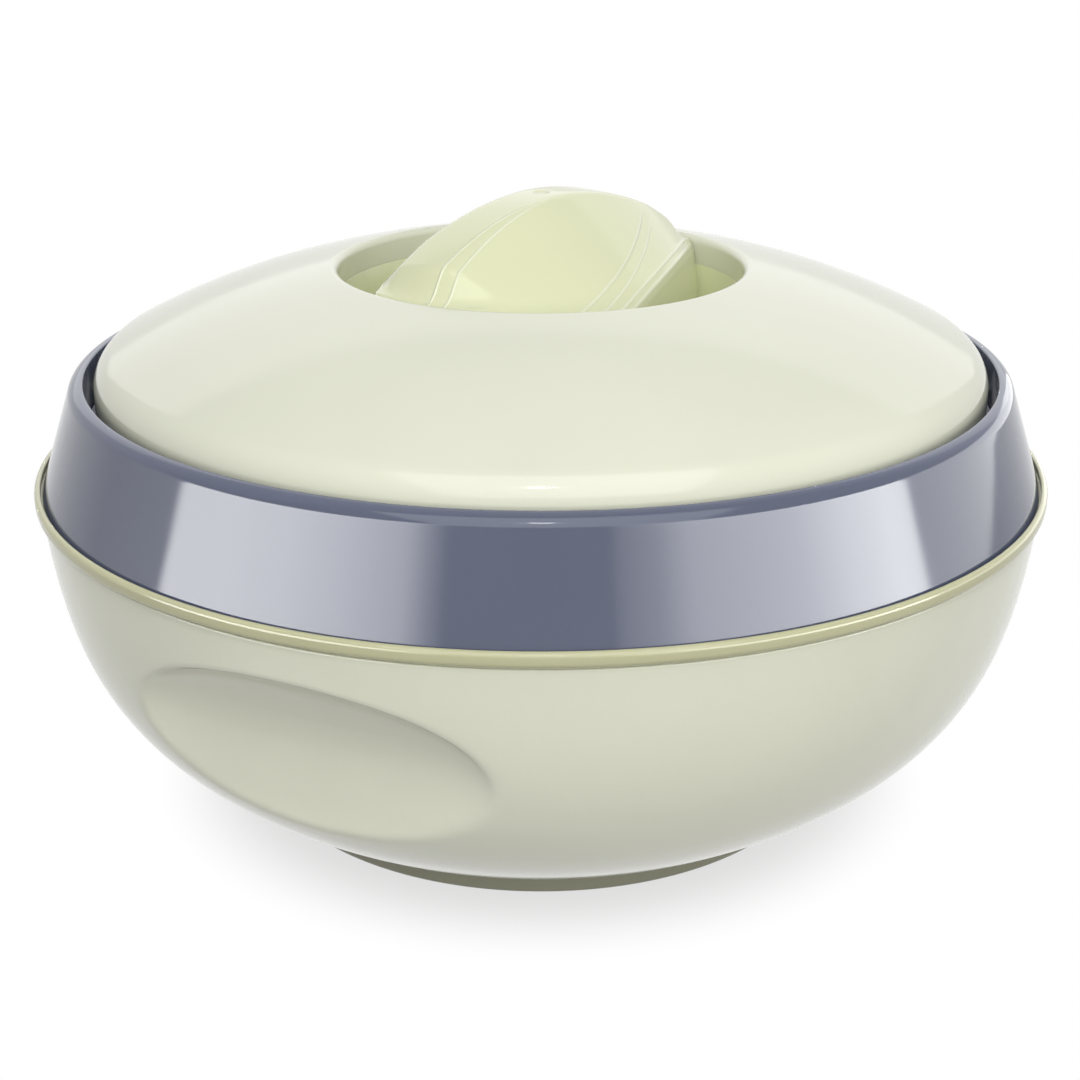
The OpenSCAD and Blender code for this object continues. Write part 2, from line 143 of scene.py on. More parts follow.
class LidSizes(bpy.types.PropertyGroup):
    gap: length("Gap", "Gap between the lid's edge and the collar", 2.7)
    wall: length("Wall", "Thickness of the lid's shells", 2.5)
    edge_round: length("Edge round", "Radius of the lid's rounded edge", 10)
    proud: length("Shoulder", "Height of the lid's shoulder above the crest", 4)
    dome_rise: length("Dome rise", "Rise of the dome from its shoulder to the recess", 23.8)
    dome_bulge: length("Dome bulge", "Bulge of the dome above a straight cone", 2.9)
    recess_r: length("Recess radius", "Radius of the round recess", 59.3)
    lip_round: length("Lip round", "Radius of the recess's rounded lip", 2)
    lip_h: length("Lip depth", "Depth of the dome's lip inside the recess", 8)
    plug_h: length("Plug depth", "Depth of the plug that enters the steel bowl", 15)
    plug_gap: length("Plug gap", "Gap between the bottom of the plug and the steel bowl", 2)


class GripSizes(bpy.types.PropertyGroup):
    well_depth: length("Well depth", "Depth of the finger wells", 24)
    rise: length("Rise", "Height of the ridge above the recess", 19.85)
    half_w: length("Half width", "Half the width of the bridge at its middle", 36.6)
    side_bow: length("Side bow", "How much the sides curve in towards the ends", 6.7)
    turn: angle("Turn", "Angle of the bridge's sides from the X axis", 6.9)
    ridge_turn: angle("Ridge turn", "Angle of the ridge from the bridge's sides", 64)
    flank_fall: ratio("Flank fall", "Fall of the broad flanks beside the ridge", 0.71)
    fold_fall: ratio("Fold fall", "Extra fall of the outer flanks", 0.12)
    softness: length("Softness", "Softness of the creases", 1.2)
    fold_groove: length("Fold groove", "Depth of the shallow groove along each fold", 0.35)
    fold_w: length("Fold width", "Width of the shallow groove along each fold", 3.4)
    strip_w: length("Strip width", "Width of the narrow strip along each crease at its foot", 5)
    gate_r: length("Gate mark", "Radius of the round gate mark on the ridge", 2.3)
    edge_round: length("Edge round", "Radius of the bridge's edges", 2.2)


class FinishColours(bpy.types.PropertyGroup):
    cream: colour("Cream", "Moulded shell of the bowl and the lid", (0.68, 0.69, 0.58))
    grip: colour("Grip", "Moulded grip and finger wells", (0.66, 0.68, 0.45))
    # Painted shade: the base plate is the bowl's cream plastic, and this dark colour stands in for the shade
    # on its foot ring. The plug shares the colour.
    base: colour("Base", "Moulded base plate and plug", (0.24, 0.24, 0.18))
    liner: colour("Liner", "Underside of the lid", (0.75, 0.75, 0.64))
    collar: colour("Collar", "Moulded collar", (0.076, 0.087, 0.140))
    steel: colour("Steel", "Steel bowl and screws", (0.62, 0.63, 0.64))
    gasket: colour("Gasket", "Soft rings", (0.78, 0.78, 0.74))
    foam: colour("Foam", "Insulation", (0.72, 0.60, 0.28))


class StageSettings(bpy.types.PropertyGroup):
    view_turn: angle("View turn", "Turn of the view to the right of the front scoop", 26.3)
    focal: FloatProperty(
        name="Focal length", description="Lens of the camera", default=64.3, subtype="DISTANCE_CAMERA")
    wall: ratio("Light walls", "Strength of the walls of light, as a multiple of the room", 13)
    back_reflector: power("Back reflector", "Power of the reflector behind", 5.5)
    top_panel: power("Top panel", "Power of the panel above", 22)
    front_panel: power("Front panel", "Power of the panel in front", 10.6)
    back_panel: power("Back panel", "Power of the panel behind", 6)
    front_lamp: power("Front lamp", "Power of the small front lamp", 0.6)
    room: ratio("Room light", "Strength of the even light from the room", 0.38)
    room_tint: colour("Room tint", "Tint of the even light from the room", (1.0, 0.98, 0.88))
    floor_shade: ratio("Floor shade", "Share of the light that the floor gives back", 0.27)
    white: colour("Floor", "Colour of the floor and the background", (1.0, 1.0, 1.0))


class ServingBowl(bpy.types.PropertyGroup):
    bowl: PointerProperty(type=BowlSizes, name="Bowl")
    collar: PointerProperty(type=CollarSizes, name="Collar")
    lid: PointerProperty(type=LidSizes, name="Lid")
    grip: PointerProperty(type=GripSizes, name="Grip")
    colours: PointerProperty(type=FinishColours, name="Finishes")
    stage: PointerProperty(type=StageSettings, name="Stage")


class Layout:
    """Radii and heights that the pieces share, worked out from the sizes."""

    fit = 0.3 * MM
    mouth_round = 2 * MM

    def __init__(self, look):
        b, c, lid, g = look.bowl, look.collar, look.lid, look.grip
        self.bowl, self.collar, self.lid, self.grip = b, c, lid, g
        self.shoulder_r = b.rim_r - b.bead_out
        self.shoulder_z = b.height - b.bead_h - b.groove
        self.lip_r = b.rim_r - 1.9 * MM
        self.ledge_z = b.height - 2 * MM
        self.ledge_r = self.lip_r - 4.6 * MM
        self.base_r = b.foot_r + 1.4 * MM
        self.base_hole_r = b.foot_r - 11 * MM
        self.spigot_z = b.foot_h + b.wall + 1.5 * MM
        self.crest_r = b.rim_r - c.lean_in
        self.crest_z = b.height + c.height
        self.wall_r = self.crest_r - 0.5 * MM
        self.seat_z = self.crest_z - c.seat_depth
        self.seat_in_r = self.wall_r - c.seat_w
        self.under_seat_z = self.seat_z - c.wall
        self.skirt_r = self.wall_r - 2.2 * MM
        self.mouth_r = self.seat_in_r - 2.2 * MM
        self.flange_z = self.under_seat_z - 1.6 * MM
        self.lid_r = self.wall_r - lid.gap
        self.skirt_z = self.seat_z + self.fit
        self.recess_z = self.crest_z + lid.proud + lid.dome_rise
        self.cup_r = lid.recess_r - lid.lip_round
        self.cup_top_z = self.recess_z - lid.lip_h
        self.well_z = self.recess_z - g.well_depth
        lean, mouth_round = b.pan_lean, self.mouth_round
        self.mouth_centre = np.array((self.mouth_r + mouth_round, self.flange_z - mouth_round))
        self.pan_top = self.mouth_centre + mouth_round * np.array((-math.cos(lean), math.sin(lean)))
        low_r = self.pan_wall_r(b.pan_floor_z + b.pan_round * (1 - math.sin(lean)))
        self.pan_centre = np.array((low_r - b.pan_round * math.cos(lean), b.pan_floor_z + b.pan_round))
        self.plug_z = self.skirt_z - lid.plug_h
        self.plug_r = self.pan_wall_r(self.plug_z) - lid.plug_gap

    def pan_wall_r(self, z):
        """Inside radius of the steel bowl's wall at a height."""
        return self.pan_top[0] - (self.pan_top[1] - z) * math.tan(self.bowl.pan_lean)

    def bowl_curve(self):
        """The four control points of the bowl's side, from the shoulder to the foot."""
        b = self.bowl
        return np.array([
            (self.shoulder_r, self.shoulder_z),
            (self.shoulder_r - b.flank_pull * math.sin(b.flank_lean),
             self.shoulder_z - b.flank_pull * math.cos(b.flank_lean)),
            (self.base_r + b.base_pull * math.cos(b.base_rise),
             b.foot_h + b.base_pull * math.sin(b.base_rise)),
            (self.base_r, b.foot_h),
        ])

    def dome(self):
        """Centre and radius of the dome's arc."""
        run = self.lid_r - self.lid.recess_r
        half = math.hypot(run, self.lid.dome_rise) / 2
        radius = (half**2 + self.lid.dome_bulge**2) / (2 * self.lid.dome_bulge)
        slope = math.atan2(self.lid.dome_rise, run) - math.asin(half / radius)
        top = np.array((self.lid.recess_r, self.recess_z))
        return top - radius * np.array((math.sin(slope), math.cos(slope))), radius


def curve_points(control, shares, gap=0.0):
    """Points of a cubic curve at shares of its run, moved outwards by gap along its normal."""
    u = shares[:, None]
    p = control
    points = (1 - u) ** 3 * p[0] + 3 * u * (1 - u) ** 2 * p[1] + 3 * u**2 * (1 - u) * p[2]
    points = points + u**3 * p[3]
    way = (1 - u) ** 2 * (p[1] - p[0]) + 2 * u * (1 - u) * (p[2] - p[1]) + u**2 * (p[3] - p[2])
    normal = np.stack((-way[:, 1], way[:, 0]), axis=1) / np.linalg.norm(way, axis=1)[:, None]
    return points + gap * normal


def smooth(share):
    """A share from 0 to 1, eased at both ends."""
    return share**2 * (3 - 2 * share)


def ramp(x, soft):
    """Rises from 0 with a slope of 1 where x is above 0, softened about 0."""
    return (x + np.sqrt(x * x + soft * soft)) / 2


def arc_points(centre, radius, start, end, count):
    """Points of an arc, in r and z."""
    a = np.linspace(start, end, count)
    return np.stack((centre[0] + radius * np.cos(a), centre[1] + radius * np.sin(a)), axis=1)


def rounded(corners, closed=False):
    """Points along a path whose corners (r, z, radius) are rounded."""
    points = []
    count = len(corners)
    for i, corner in enumerate(corners):
        here = np.array(corner[:2], dtype=float)
        radius = corner[2] if len(corner) > 2 else 0.0
        if radius <= 0 or (not closed and i in (0, count - 1)):
            points.append(here)
            continue
        before = np.array(corners[i - 1][:2], dtype=float) - here
        after = np.array(corners[(i + 1) % count][:2], dtype=float) - here
        before /= np.linalg.norm(before)
        after /= np.linalg.norm(after)
        half = math.acos(max(-1.0, min(1.0, float(before @ after)))) / 2
        reach = radius / math.tan(half)
        middle = (before + after) / np.linalg.norm(before + after)
        centre = here + middle * radius / math.sin(half)
        start, end = here + before * reach - centre, here + after * reach - centre
        turn = math.atan2(start[0] * end[1] - start[1] * end[0], float(start @ end))
        first = math.atan2(start[1], start[0])
        points.extend(arc_points(centre, radius, first, first + turn, ROUND_STEPS + 1))
    return np.array(points)


def even_turn(count):
    """Even angles about the axis."""
    return np.linspace(0, 2 * math.pi, count, endpoint=False)


def turned(name, path, angles=None, closed=True, radii=None):
    """A shell turned about the Z axis."""
    return make_mesh(name, *turned_skin(path, angles, closed, radii))


def turned_skin(path, angles=None, closed=True, radii=None):
    """Points and faces of a turned shell. radii, if given, has each path point's radius at each angle."""
    angles = even_turn(256) if angles is None else angles
    count = len(angles)
    ring = np.stack((np.cos(angles), np.sin(angles)), axis=1)
    verts, rows = [], []
    total = 0
    for i, (r, z) in enumerate(path):
        if r < 1e-7:
            verts.append(np.array([(0.0, 0.0, z)]))
            rows.append(np.full(count, total))
            total += 1
        else:
            reach = np.full(count, r) if radii is None else radii[i]
            verts.append(np.column_stack((ring * reach[:, None], np.full(count, z))))
            rows.append(np.arange(total, total + count))
            total += count
    faces = []
    pairs = list(zip(rows, rows[1:])) + ([(rows[-1], rows[0])] if closed else [])
    for low, high in pairs:
        for j in range(count):
            k = (j + 1) % count
            loop = [low[j], low[k], high[k], high[j]]
            faces.append([int(v) for n, v in enumerate(loop) if v != loop[n - 1]])
    return np.concatenate(verts), [face for face in faces if len(face) > 2]


def new_object(name, data):
    """A new object in the scene."""
    made = bpy.data.objects.new(name, data)
    bpy.context.scene.collection.objects.link(made)
    return made


def make_mesh(name, verts, faces):
    """A smooth object with sharp edges where its faces meet at a marked angle."""
    mesh = bpy.data.meshes.new(name)
    mesh.from_pydata([tuple(map(float, v)) for v in verts], [], faces)
    work = bmesh.new()
    work.from_mesh(mesh)
    bmesh.ops.recalc_face_normals(work, faces=work.faces)
    work.to_mesh(mesh)
    work.free()
    mesh.shade_smooth()
    mesh.set_sharp_from_angle(angle=math.radians(SHARP_DEGREES))
    return new_object(name, mesh)


def seat(piece, body, node, finish):
    """Puts a piece in the place of its solid, on its body, with its finish."""
    piece.data.materials.append(finish)
    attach(piece, body)
    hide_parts(node)


class Wiring:
    """The nodes and links of a material or of the world."""

    def __init__(self, owner):
        owner.use_nodes = True
        self.owner, self.tree = owner, owner.node_tree

    def node(self, kind, sockets=None, **settings):
        """A new node with its settings, and with values on its sockets."""
        made = self.tree.nodes.new(kind)
        for key, value in settings.items():
            setattr(made, key, value)
        for key, value in (sockets or {}).items():
            made.inputs[key].default_value = value
        return made

    def link(self, source, target):
        self.tree.links.new(source, target)

    def kept(self, name):
        """A value that is kept in the mesh."""
        return self.node("ShaderNodeAttribute", attribute_name=name).outputs["Fac"]

    def reach(self, place):
        """Distance of a place from the origin."""
        made = self.node("ShaderNodeVectorMath", operation="LENGTH")
        self.link(place, made.inputs[0])
        return made.outputs["Value"]

    def calc(self, operation, *values):
        """The result of a sum on one or two values."""
        made = self.node("ShaderNodeMath", operation=operation)
        for value, target in zip(values, made.inputs):
            self.link(value, target)
        return made.outputs["Value"]

    def span(self, value, start, end, low=0.0, high=1.0, **settings):
        """A value that goes from start to end, mapped to low and high."""
        ends = {"From Min": start, "From Max": end, "To Min": low, "To Max": high}
        made = self.node("ShaderNodeMapRange", ends, **settings)
        self.link(value, made.inputs["Value"])
        return made.outputs["Result"]


class Finish(Wiring):
    """A material under construction, with its main shader."""

    noise_span = (0.3, 0.7)
    bead_tone = (0.66, 0.64, 0.48)
    bead_soft = 0.3 * MM
    # Painted highlight: the screen tone that lightens the colour along the ribs
    rib_painted_highlight = (0.25, 0.25, 0.25)

    def __init__(self, name):
        super().__init__(bpy.data.materials.new(name))
        self.shader = self.tree.nodes["Principled BSDF"]
        self.place = self.node("ShaderNodeTexCoord").outputs["Object"]

    def noise(self, scale, detail=2.0, place=None, roughness=0.5):
        made = self.node("ShaderNodeTexNoise", {"Scale": scale, "Detail": detail, "Roughness": roughness})
        self.link(place or self.place, made.inputs["Vector"])
        return made.outputs["Fac"]

    def place_parts(self):
        """The place on the piece, split into X, Y and Z."""
        split = self.node("ShaderNodeSeparateXYZ")
        self.link(self.place, split.inputs["Vector"])
        return split.outputs

    def flat(self, x, y):
        """A place that has X and Y alone."""
        made = self.node("ShaderNodeCombineXYZ")
        self.link(x, made.inputs["X"])
        self.link(y, made.inputs["Y"])
        return made.outputs["Vector"]

    def tint(self, factor, rgb, spread):
        """Base colour that wanders a little about rgb."""
        tones = self.node("ShaderNodeValToRGB")
        low, high = tones.color_ramp.elements
        low.position, high.position = self.noise_span
        low.color = (*[c * (1 - spread) for c in rgb], 1)
        high.color = (*[min(1.0, c * (1 + spread)) for c in rgb], 1)
        self.link(factor, tones.inputs["Fac"])
        self.link(tones.outputs["Color"], self.shader.inputs["Base Color"])

    def warm_above(self, z):
        """Warmer, deeper colour above a height."""
        above = self.span(self.place_parts()["Z"], z - self.bead_soft, z + self.bead_soft)
        self.blend(above, "MULTIPLY", self.bead_tone)

    def blend(self, factor, kind, rgb):
        """Lays a second colour over the base colour, as far as the factor goes."""
        made = self.node("ShaderNodeMix", data_type="RGBA", blend_type=kind)
        plain = self.shader.inputs["Base Color"].links[0].from_socket
        plain_in, over_in = [s for s in made.inputs if s.type == "RGBA"]
        self.link(factor, made.inputs["Factor"])
        self.link(plain, plain_in)
        over_in.default_value = (*rgb, 1)
        self.link([s for s in made.outputs if s.type == "RGBA"][0], self.shader.inputs["Base Color"])

    def gloss(self, factor, low, high):
        """Roughness that wanders between low and high."""
        self.link(self.span(factor, *self.noise_span, low, high), self.shader.inputs["Roughness"])

    def bump(self, factor, depth, strength=1.0):
        made = self.node("ShaderNodeBump", {"Strength": strength, "Distance": depth})
        self.link(factor, made.inputs["Height"])
        self.link(made.outputs["Normal"], self.shader.inputs["Normal"])
        return made

    def ribs(self, over, height, width):
        """Fine ribs, over the bump made before, along the lines that are kept in the mesh. The colour is
        lightened along them: a painted highlight.
        """
        edge, fade = (self.kept(name) for name in LINE_NAMES)
        off = self.calc("ABSOLUTE", edge)
        rib = self.span(off, 0.0, width, 1.0, 0.0, interpolation_type="SMOOTHSTEP")
        shown = self.calc("MULTIPLY", rib, fade)
        made = self.bump(shown, height)
        self.link(over.outputs["Normal"], made.inputs["Normal"])
        # Painted highlight: lightens the colour along the ribs.
        self.blend(shown, "SCREEN", self.rib_painted_highlight)


def moulded_plastic(name, rgb, low, high, ripple=0.02 * MM, bead=None, ribs=False):
    """Glossy plastic with a faint flow in its colour and a slow ripple. A bead above a height is warmer. Ribs,
    where asked for, carry a painted highlight.
    """
    made = Finish(name)
    made.tint(made.noise(14, 3), rgb, 0.025)
    if bead:
        made.warm_above(bead)
    made.gloss(made.noise(42, 4), low, high)
    flow = made.bump(made.noise(26, 2), ripple, 0.6)
    if ribs:
        made.ribs(flow, height=0.2 * MM, width=0.6 * MM)
    made.shader.inputs["IOR"].default_value = 1.5
    return made.owner


def brushed_steel(name, rgb):
    """Steel spun on a lathe: fine rings about the axis."""
    made = Finish(name)
    parts = made.place_parts()
    reach = made.reach(made.flat(parts["X"], parts["Y"]))
    lines = made.noise(2600, 3, made.flat(reach, parts["Z"]), 0.7)
    made.tint(made.noise(9, 3), rgb, 0.03)
    made.gloss(lines, 0.2, 0.34)
    made.bump(lines, 0.01 * MM, 0.5)
    made.shader.inputs["Metallic"].default_value = 1.0
    return made.owner


def soft_ring(name, rgb):
    """Matt silicone with a fine skin."""
    made = Finish(name)
    made.tint(made.noise(60, 3), rgb, 0.04)
    made.gloss(made.noise(300, 2), 0.5, 0.65)
    made.bump(made.noise(1400, 3), 0.03 * MM, 0.4)
    return made.owner


def rigid_foam(name, rgb):
    """Rigid foam with small closed cells."""
    made = Finish(name)
    cells = made.node("ShaderNodeTexVoronoi", {"Scale": 420})
    made.link(made.place, cells.inputs["Vector"])
    made.tint(made.noise(35, 4), rgb, 0.12)
    made.gloss(made.noise(200, 2), 0.8, 0.95)
    made.bump(cells.outputs["Distance"], 0.6 * MM, 0.7)
    return made.owner


def scooped(layout, points, angles, grow, soft):
    """Radii of the bowl's side with the two scoops taken out, softened along their edges."""
    b = layout.bowl
    ledge_foot, ledge_run, ledge_turn, beyond = 2 * MM, 28 * MM, 1.15 * MM, 1.0
    axis_r = layout.shoulder_r - b.scoop_depth + b.scoop_r
    tool_r = b.scoop_r + grow
    radii = np.repeat(points[:, :1], len(angles), axis=1)
    height = points[:, 1] - b.scoop_z
    reach = axis_r - np.sqrt(np.maximum(tool_r**2 - height**2, 0))
    facing = np.maximum(np.abs(np.sin(angles)), 1e-3)
    limit = np.where(np.abs(height)[:, None] < tool_r, reach[:, None] / facing[None, :], beyond)
    if soft <= 0:
        return np.minimum(radii, limit)
    high = np.clip((height - ledge_foot) / ledge_run, 0, 1)[:, None]
    turned_in = 1 - np.exp(-np.maximum(radii - limit, 0) / ledge_turn)
    limit = limit - b.scoop_ledge * smooth(high) * turned_in
    near = np.maximum(soft - np.abs(radii - limit), 0) / soft
    return np.minimum(radii, limit) - near**2 * soft / 4


def scoop_angles():
    """Angles about the axis, closer together across the two scoops."""
    coarse, fine, scoop_half = (math.radians(a) for a in (2, 0.4, 33))
    stops = [0.0]
    while stops[-1] < 2 * math.pi - 1e-6:
        off = abs((stops[-1] % math.pi) - math.pi / 2)
        stops.append(stops[-1] + (fine if off < scoop_half else coarse))
    return np.array(stops[:-1])


class BOWL_OT_outer_bowl(bpy.types.Operator):
    """Build the moulded outer bowl with its bead, groove and hand scoops"""

    bl_idname = "serving_bowl.outer_bowl"
    bl_label = "Outer Bowl"

    def execute(self, context):
        look = context.scene.serving_bowl
        at, b = Layout(look), look.bowl
        close_at_scoop_top = np.interp(
            np.linspace(0, 1, 142), (0, 0.02, 0.3, 0.62, 1), (0, 0.062, 0.11, 0.3, 1))
        outside = curve_points(at.bowl_curve(), close_at_scoop_top)
        inside = curve_points(at.bowl_curve(), np.linspace(0, 1, 24), -b.wall)[::-1]
        bead_r = b.rim_r - 0.05 * MM
        rim = rounded([
            (at.ledge_r, at.shoulder_z), (at.ledge_r, at.ledge_z, 0.3 * MM), (at.lip_r, at.ledge_z),
            (at.lip_r, b.height, 0.5 * MM), (bead_r, b.height, 1.3 * MM),
            (bead_r, b.height - b.bead_h, 1.3 * MM),
            (at.shoulder_r - b.groove, b.height - b.bead_h, 0.15 * MM),
            (at.shoulder_r - b.groove, at.shoulder_z, 0.15 * MM),
            (at.shoulder_r, at.shoulder_z, 0.4 * MM), tuple(outside[1]),
        ])[:-1]
        foot = np.array([(at.base_hole_r, b.foot_h), (at.base_hole_r, b.foot_h + b.wall)])
        angles = scoop_angles()
        path = np.concatenate((rim, outside[1:], foot, inside))
        radii = np.concatenate((
            np.repeat(rim[:, :1], len(angles), axis=1),
            scooped(at, outside[1:], angles, 0.0, b.scoop_soft),
            np.repeat(foot[:, :1], len(angles), axis=1),
            scooped(at, inside, angles, b.wall, 0.0),
        ))
        piece = turned("outer_bowl_shell", path, angles, True, radii)
        groove_z = b.height - b.bead_h - b.groove / 2
        seat(piece, "base", "outer_bowl",
             moulded_plastic("cream_bowl", look.colours.cream, 0.10, 0.16, bead=groove_z))
        return {"FINISHED"}


class BOWL_OT_base_plate(bpy.types.Operator):
    """Build the base plate with its foot ring"""

    bl_idname = "serving_bowl.base_plate"
    bl_label = "Base Plate"

    def execute(self, context):
        look = context.scene.serving_bowl
        at, b = Layout(look), look.bowl
        under = b.foot_h - b.plate_t
        inner_foot_r = b.foot_r - b.foot_w
        spigot_r = at.base_hole_r - at.fit
        inner_spigot_r = spigot_r - 2.2 * MM
        path = rounded([
            (b.filler_r, under, 0.3 * MM), (inner_foot_r, under, 1.2 * MM), (inner_foot_r, 0, 0.8 * MM),
            (b.foot_r, 0, 1.0 * MM), (b.foot_r, b.foot_h, 0.3 * MM), (spigot_r, b.foot_h),
            (spigot_r, at.spigot_z, 0.4 * MM), (inner_spigot_r, at.spigot_z, 0.4 * MM),
            (inner_spigot_r, b.foot_h), (b.filler_r, b.foot_h),
        ], closed=True)
        piece = turned("base_plate_shell", path)
        # The base plate's dark colour is painted shade on the cream foot ring.
        seat(piece, "base", "base_plate",
             moulded_plastic("cream_base", look.colours.base, 0.28, 0.38, 0.04 * MM))
        return {"FINISHED"}


class BOWL_OT_collar(bpy.types.Operator):
    """Build the grey collar with its rounded crest and lid seat"""

    bl_idname = "serving_bowl.collar"
    bl_label = "Collar"

    def execute(self, context):
        look = context.scene.serving_bowl
        at, c = Layout(look), look.collar
        foot = np.array((at.lip_r - at.fit, at.ledge_z))
        centre = np.array((at.crest_r, at.crest_z - c.crest_round))
        way = foot - centre
        tangent = math.atan2(way[1], way[0]) + math.acos(c.crest_round / np.linalg.norm(way))
        crest = arc_points(centre, c.crest_round, tangent, math.pi / 2, 22)
        under = centre + (c.crest_round - c.wall) * np.array((math.cos(tangent), math.sin(tangent)))
        side = np.linspace(foot, crest[0], 14)[1:-1]
        inner_r = at.wall_r + c.wall
        edge_round = 0.5 * MM
        skirt_z = at.under_seat_z - 7.6 * MM
        edge = arc_points((at.crest_r, at.crest_z - edge_round), edge_round, math.pi / 2, math.pi, 6)
        seat_path = rounded([
            tuple(edge[-1]), (at.wall_r, at.seat_z, 0.6 * MM), (at.seat_in_r, at.seat_z, 0.7 * MM),
            (at.seat_in_r, at.under_seat_z, 0.3 * MM), (at.skirt_r, at.under_seat_z),
            (at.skirt_r, skirt_z), (at.wall_r, skirt_z),
            (at.wall_r, at.under_seat_z), (inner_r, at.seat_z), (inner_r, under[1]),
            (max(under[0], inner_r + at.fit), under[1]), (foot[0] - c.wall, foot[1]),
        ])[1:]
        path = np.concatenate(([foot], side, crest, edge[1:], seat_path))
        piece = turned("collar_shell", path, even_turn(360))
        seat(piece, "base", "collar_ring",
             moulded_plastic("blue_grey_collar", look.colours.collar, 0.06, 0.10))
        return {"FINISHED"}


class BOWL_OT_steel_bowl(bpy.types.Operator):
    """Build the pressed steel bowl"""

    bl_idname = "serving_bowl.steel_bowl"
    bl_label = "Steel Bowl"

    def execute(self, context):
        look = context.scene.serving_bowl
        at, b = Layout(look), look.bowl
        flange_r = at.skirt_r - at.fit
        lean, mouth_round, up = b.pan_lean, at.mouth_round, math.pi / 2
        path = np.concatenate((
            [(0, b.pan_floor_z - b.steel_t)],
            arc_points(at.pan_centre, b.pan_round + b.steel_t, -up, -lean, 20),
            arc_points(at.mouth_centre, mouth_round - b.steel_t, math.pi - lean, up, 8),
            [(flange_r, at.flange_z - b.steel_t), (flange_r, at.flange_z)],
            arc_points(at.mouth_centre, mouth_round, up, math.pi - lean, 10),
            arc_points(at.pan_centre, b.pan_round, -lean, -up, 24),
            [(0, b.pan_floor_z)],
        ))
        piece = turned("steel_bowl_shell", path, closed=False)
        seat(piece, "base", "inner_bowl", brushed_steel("spun_steel", look.colours.steel))
        return {"FINISHED"}


class BOWL_OT_lid_dome(bpy.types.Operator):
    """Build the domed top of the lid"""

    bl_idname = "serving_bowl.lid_dome"
    bl_label = "Lid Dome"

    def execute(self, context):
        look = context.scene.serving_bowl
        at, lid = Layout(look), look.lid
        centre, radius = at.dome()

        def touch(r, rounding):
            """Centre and angle of a round of that radius, at r, that touches the dome's arc from inside."""
            rise = math.sqrt((radius - rounding) ** 2 - (r - centre[0]) ** 2)
            return (r, centre[1] + rise), math.atan2(rise, r - centre[0])

        lip_at, lip_angle = touch(lid.recess_r, lid.lip_round)
        edge_at, edge_angle = touch(at.lid_r - lid.edge_round, lid.edge_round)
        inner_r, skirt_top = at.lid_r - lid.wall, at.skirt_z + 3 * MM
        corner_angle = math.acos((inner_r - centre[0]) / (radius - lid.wall))
        path = np.concatenate((
            [(at.cup_r, at.cup_top_z)],
            arc_points(lip_at, lid.lip_round, math.pi, lip_angle, 14)[:-1],
            arc_points(centre, radius, lip_angle, edge_angle, 90),
            arc_points(edge_at, lid.edge_round, edge_angle, 0, 20)[1:],
            rounded([(at.lid_r, skirt_top), (at.lid_r, at.skirt_z, 0.5 * MM),
                     (inner_r, at.skirt_z, 0.4 * MM), (inner_r, skirt_top)]),
            arc_points(centre, radius - lid.wall, corner_angle, lip_angle, 40),
            [(at.cup_r + lid.wall, at.cup_top_z)],
        ))
        piece = turned("lid_dome_shell", path, even_turn(360))
        seat(piece, "lid", "lid_dome",
             moulded_plastic("cream_lid", look.colours.cream, 0.09, 0.15))
        return {"FINISHED"}


